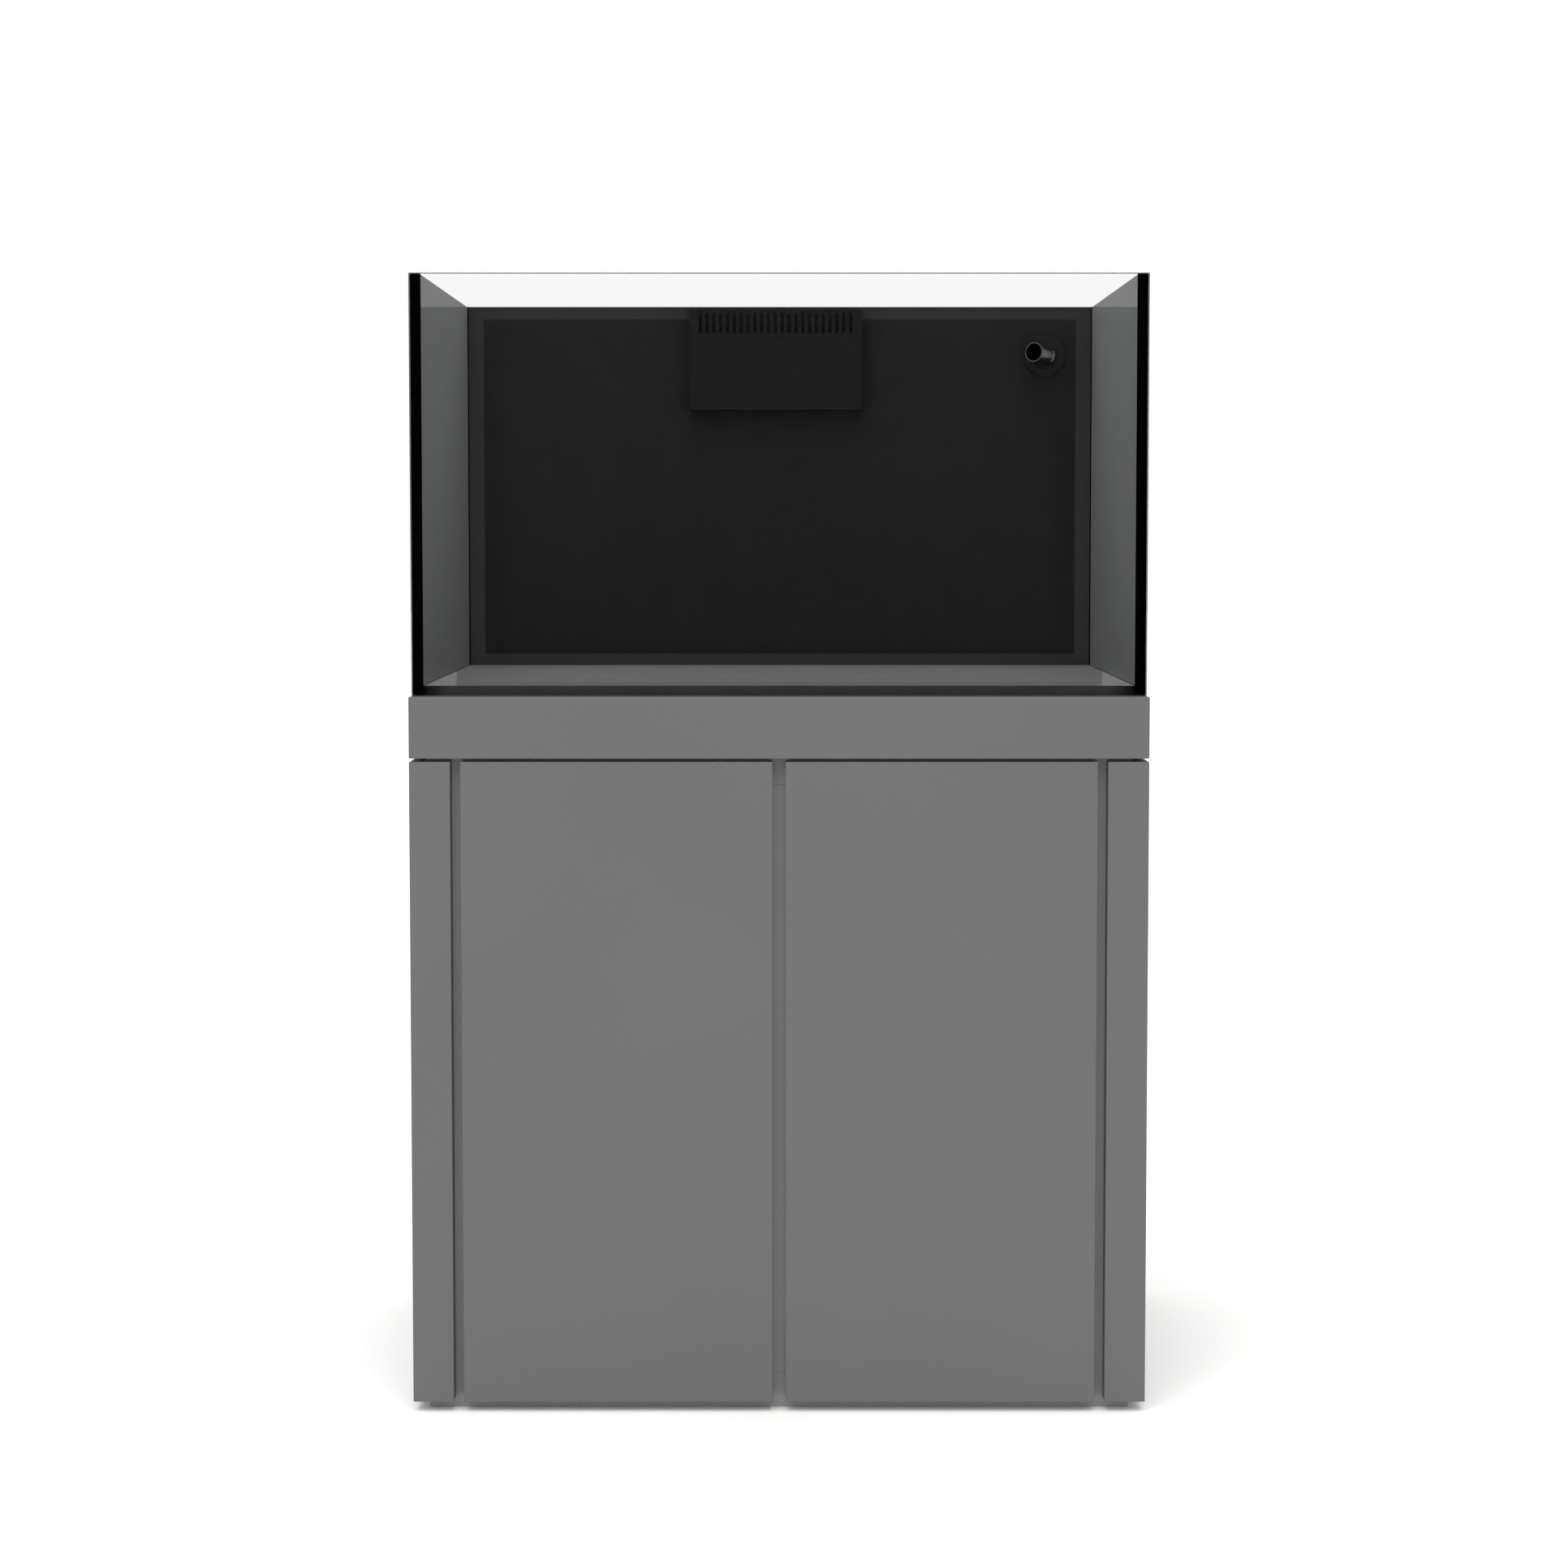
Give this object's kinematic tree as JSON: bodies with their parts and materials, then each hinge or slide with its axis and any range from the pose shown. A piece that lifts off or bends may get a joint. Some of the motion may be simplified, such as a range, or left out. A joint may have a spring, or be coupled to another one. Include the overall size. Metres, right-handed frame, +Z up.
{
  "type": "aquarium on stand",
  "caption": "Frameless glass aquarium with a rear overflow, on a handleless two-door grey cabinet that hides a sump, filter socks, return pump and pipes.",
  "frame": {"origin": "middle of the footprint, on the floor", "axes": "+Z up; the doors face -Y; +X is to the right of someone facing the doors"},
  "size_m": [0.902, 0.621, 1.399],
  "materials": {
    "cabinet_board": "satin grey lacquer on board",
    "hinge_steel": "nickel plated",
    "pin_steel": "ground stainless",
    "screw_steel": "zinc plated",
    "bumper_rubber": "matt",
    "clear_glass": "clear, polished edges",
    "black_glass": "black, polished",
    "silicone": "black sealant",
    "black_acrylic": "glossy",
    "grey_pvc": "extruded",
    "black_abs": "moulded",
    "red_abs": "moulded",
    "white_nylon": "moulded",
    "filter_felt": "needled felt"
  },
  "bodies": {
    "cabinet_and_tank": {"bottom_board": "cabinet_board", "left_carcass_side": "cabinet_board", "right_carcass_side": "cabinet_board", "back_panel": "cabinet_board", "top_board": "cabinet_board", "left_post": "cabinet_board", "right_post": "cabinet_board", "centre_post": "cabinet_board", "top_rail": "cabinet_board", "bottom_rail": "cabinet_board", "left_side_board": "cabinet_board", "right_side_board": "cabinet_board", "left_stile": "cabinet_board", "right_stile": "cabinet_board", "crown_front": "cabinet_board", "crown_left": "cabinet_board", "crown_right": "cabinet_board", "crown_back": "cabinet_board", "hinge_arms": "hinge_steel", "hinge_plates": "hinge_steel", "cabinet_screws": "screw_steel", "door_bumpers": "bumper_rubber", "cable_grommet": "bumper_rubber", "front_pane": "clear_glass", "left_pane": "clear_glass", "right_pane": "clear_glass", "bottom_pane": "clear_glass", "sump_tank": "clear_glass", "sump_baffles": "clear_glass", "back_pane": "black_glass", "silicone_seams": "silicone", "weir_box": "black_acrylic", "overflow_box": "black_acrylic", "sock_tray": "black_acrylic", "overflow_unions": "grey_pvc", "drain_bulkheads": "grey_pvc", "main_drain_upper": "grey_pvc", "main_drain_lower": "grey_pvc", "emergency_drain": "grey_pvc", "return_pipe": "grey_pvc", "gate_valve_body": "grey_pvc", "return_bulkhead": "black_abs", "return_pump": "black_abs", "pump_strainer": "black_abs"},
    "left_door": {"left_door": "cabinet_board", "left_hinge_cups": "hinge_steel", "left_hinge_pins": "pin_steel"},
    "right_door": {"right_door": "cabinet_board", "right_hinge_cups": "hinge_steel", "right_hinge_pins": "pin_steel"},
    "comb": {"weir_comb": "black_acrylic"},
    "lid": {"overflow_lid": "black_acrylic"},
    "nozzle": {"return_nozzle": "black_abs"},
    "valve_wheel": {"gate_valve_wheel": "red_abs"},
    "valve_blade": {"gate_valve_blade": "grey_pvc"},
    "front_sock": {"front_sock_ring": "black_abs", "front_sock_bag": "filter_felt"},
    "rear_sock": {"rear_sock_ring": "black_abs", "rear_sock_bag": "filter_felt"},
    "impeller": {"pump_impeller": "white_nylon"}
  },
  "joints": [
    {"name": "left_door_hinge", "type": "hinge", "parent": "cabinet_and_tank", "child": "left_door", "pos_m": [-0.3815, -0.3015, 0.409], "axis": [0, 0, -1], "range_deg": [0, 100]},
    {"name": "right_door_hinge", "type": "hinge", "parent": "cabinet_and_tank", "child": "right_door", "pos_m": [0.3815, -0.3015, 0.409], "axis": [0, 0, 1], "range_deg": [0, 100]},
    {"name": "comb_lift", "type": "slide", "parent": "cabinet_and_tank", "child": "comb", "axis": [0, 0, 1], "range_m": [0, 0.16]},
    {"name": "lid_lift", "type": "slide", "parent": "cabinet_and_tank", "child": "lid", "axis": [0, 0, 1], "range_m": [0, 0.06]},
    {"name": "nozzle_swivel", "type": "hinge", "parent": "cabinet_and_tank", "child": "nozzle", "pos_m": [0.371, 0.172, 1.33], "axis": [0, 1, 0], "range_deg": [-180, 180]},
    {"name": "valve_wheel_turn", "type": "hinge", "parent": "cabinet_and_tank", "child": "valve_wheel", "pos_m": [-0.051, 0.0195, 0.53], "axis": [0, 1, 0], "range_deg": [0, 3600]},
    {"name": "valve_blade_slide", "type": "slide", "parent": "cabinet_and_tank", "child": "valve_blade", "axis": [0, 1, 0], "range_m": [0, 0.03]},
    {"name": "front_sock_lift", "type": "slide", "parent": "cabinet_and_tank", "child": "front_sock", "axis": [0, 0, 1], "range_m": [0, 0.24]},
    {"name": "rear_sock_lift", "type": "slide", "parent": "cabinet_and_tank", "child": "rear_sock", "axis": [0, 0, 1], "range_m": [0, 0.24]},
    {"name": "impeller_spin", "type": "hinge", "parent": "cabinet_and_tank", "child": "impeller", "pos_m": [0.232, -0.1055, 0.074], "axis": [0, 1, 0], "continuous": true}
  ],
  "couplings": [
    {"joint": "valve_blade_slide", "follows": "valve_wheel_turn", "m_per_rad": 0.00047746}
  ]
}
